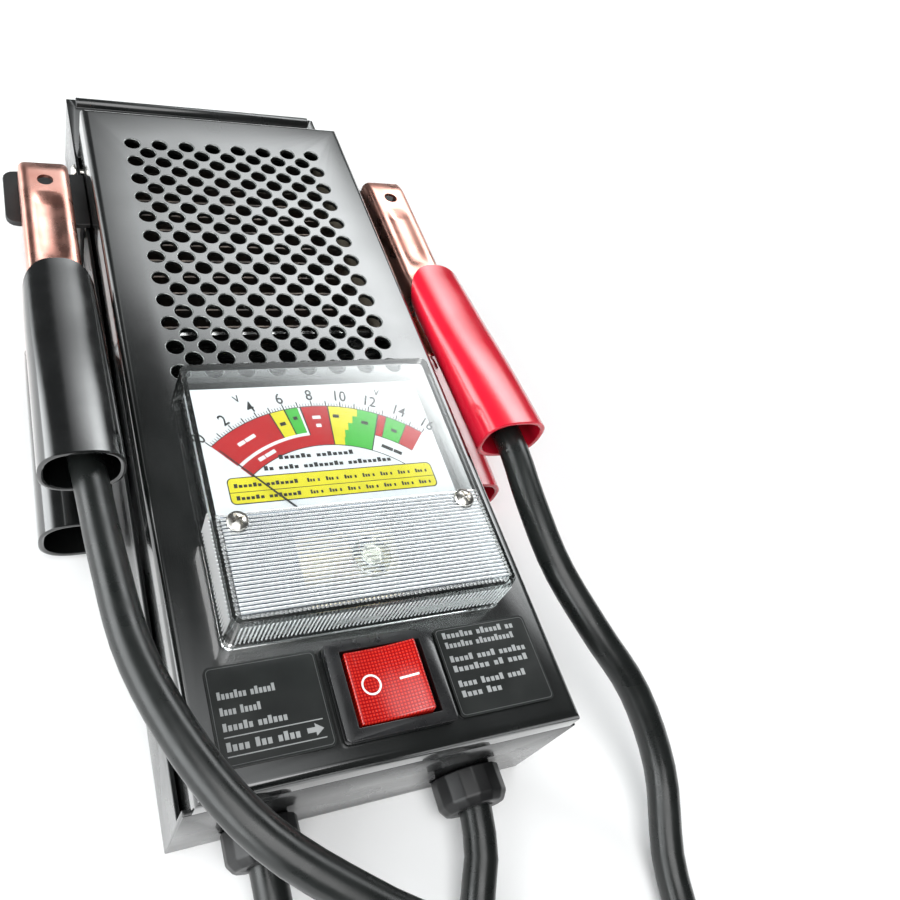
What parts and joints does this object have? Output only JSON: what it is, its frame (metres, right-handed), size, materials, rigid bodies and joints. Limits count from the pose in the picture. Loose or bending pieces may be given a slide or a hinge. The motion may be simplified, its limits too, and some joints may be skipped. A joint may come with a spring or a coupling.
{
  "type": "battery load tester",
  "caption": "Handheld 6 and 12 volt battery load tester with a vented steel case, a needle meter, a rocker switch and two spring clamps on cables.",
  "frame": {"origin": "on the surface the tester lies on, under the middle of the tester's own bounding box without the free cables", "axes": "+X to the right seen from the front, +Y towards the vented top end, +Z out of the front face, up as it lies on its back"},
  "size_m": [0.1756, 0.4191, 0.0634],
  "materials": {
    "black_gloss_paint": "gloss black enamel",
    "black_plastic": "semi-gloss",
    "clear_plastic": "clear acrylic",
    "dial_card": "matt printed card on a metal plate",
    "zinc_plated_steel": "zinc plated",
    "spring_steel": "plain steel",
    "bright_steel": "bright",
    "copper_plate": "copper plated, satin",
    "brass": "plain",
    "needle_black": "matt black",
    "red_translucent": "translucent, gloss",
    "nichrome": "heat-stained",
    "mica_board": "matt",
    "cable_rubber": "satin",
    "black_vinyl": "gloss dipped vinyl",
    "red_vinyl": "gloss dipped vinyl",
    "label_film": "gloss film"
  },
  "bodies": {
    "case": {"front_cover": "black_gloss_paint", "rear_case": "black_gloss_paint", "meter_lens": "clear_plastic", "meter_base": "black_plastic", "dial_plate": "dial_card", "meter_magnet": "spring_steel", "meter_bridge": "brass", "hairspring": "brass", "switch_housing": "black_plastic", "switch_spring": "spring_steel", "switch_terminal_left": "brass", "switch_terminal_right": "brass", "load_ribbon": "nichrome", "mica_board_left": "mica_board", "mica_board_right": "mica_board", "heat_shield": "bright_steel", "bus_bar": "copper_plate", "case_screw_left_bottom": "zinc_plated_steel", "case_screw_left_top": "zinc_plated_steel", "clamp_rest_left": "black_gloss_paint", "rest_rivet_left": "zinc_plated_steel", "lens_screw_left": "zinc_plated_steel", "meter_stud_left": "brass", "gland_left": "black_plastic", "gland_nut_left": "black_plastic", "inner_lead_left": "cable_rubber", "cable_lug_left": "copper_plate", "cable_left": "cable_rubber", "label_left": "label_film", "upper_jaw_left": "copper_plate", "upper_grip_left": "black_vinyl", "clamp_pin_left": "zinc_plated_steel", "clamp_spring_left": "spring_steel", "case_screw_right_bottom": "zinc_plated_steel", "case_screw_right_top": "zinc_plated_steel", "clamp_rest_right": "black_gloss_paint", "rest_rivet_right": "zinc_plated_steel", "lens_screw_right": "zinc_plated_steel", "meter_stud_right": "brass", "gland_right": "black_plastic", "gland_nut_right": "black_plastic", "inner_lead_right": "cable_rubber", "cable_lug_right": "copper_plate", "cable_right": "cable_rubber", "label_right": "label_film", "upper_jaw_right": "copper_plate", "upper_grip_right": "red_vinyl", "clamp_pin_right": "zinc_plated_steel", "clamp_spring_right": "spring_steel"},
    "rocker": {"switch_rocker": "red_translucent", "switch_contact": "brass"},
    "needle": {"meter_needle": "needle_black", "moving_coil": "copper_plate"},
    "adjuster": {"zero_adjuster": "clear_plastic"},
    "left_lower_jaw": {"lower_jaw_left": "copper_plate", "lower_grip_left": "black_vinyl"},
    "right_lower_jaw": {"lower_jaw_right": "copper_plate", "lower_grip_right": "red_vinyl"}
  },
  "joints": [
    {"name": "switch_rock", "type": "hinge", "parent": "case", "child": "rocker", "pos_m": [0, -0.1192, 0.044], "axis": [0, 1, 0], "range_deg": [0, 12], "stiffness_Nm_per_rad": 0.08, "springref_deg": -8.59, "deforming": ["switch_spring"]},
    {"name": "needle_swing", "type": "hinge", "parent": "case", "child": "needle", "pos_m": [0, -0.0847, 0.052], "axis": [0, 0, -1], "range_deg": [0, 82], "stiffness_Nm_per_rad": 0.0003, "springref_deg": -2.86, "deforming": ["hairspring"]},
    {"name": "zero_adjust", "type": "hinge", "parent": "case", "child": "adjuster", "pos_m": [0, -0.0902, 0.0615], "axis": [0, 0, 1], "range_deg": [-30, 30]},
    {"name": "left_clamp_opening", "type": "hinge", "parent": "case", "child": "left_lower_jaw", "pos_m": [-0.0665, 0.0283, 0.03], "axis": [-1, 0, 0], "range_deg": [0, 12.5], "stiffness_Nm_per_rad": 1.2, "springref_deg": -28.65, "deforming": ["clamp_spring_left"]},
    {"name": "right_clamp_opening", "type": "hinge", "parent": "case", "child": "right_lower_jaw", "pos_m": [0.0665, 0.0283, 0.03], "axis": [-1, 0, 0], "range_deg": [0, 12.5], "stiffness_Nm_per_rad": 1.2, "springref_deg": -28.65, "deforming": ["clamp_spring_right"]}
  ]
}
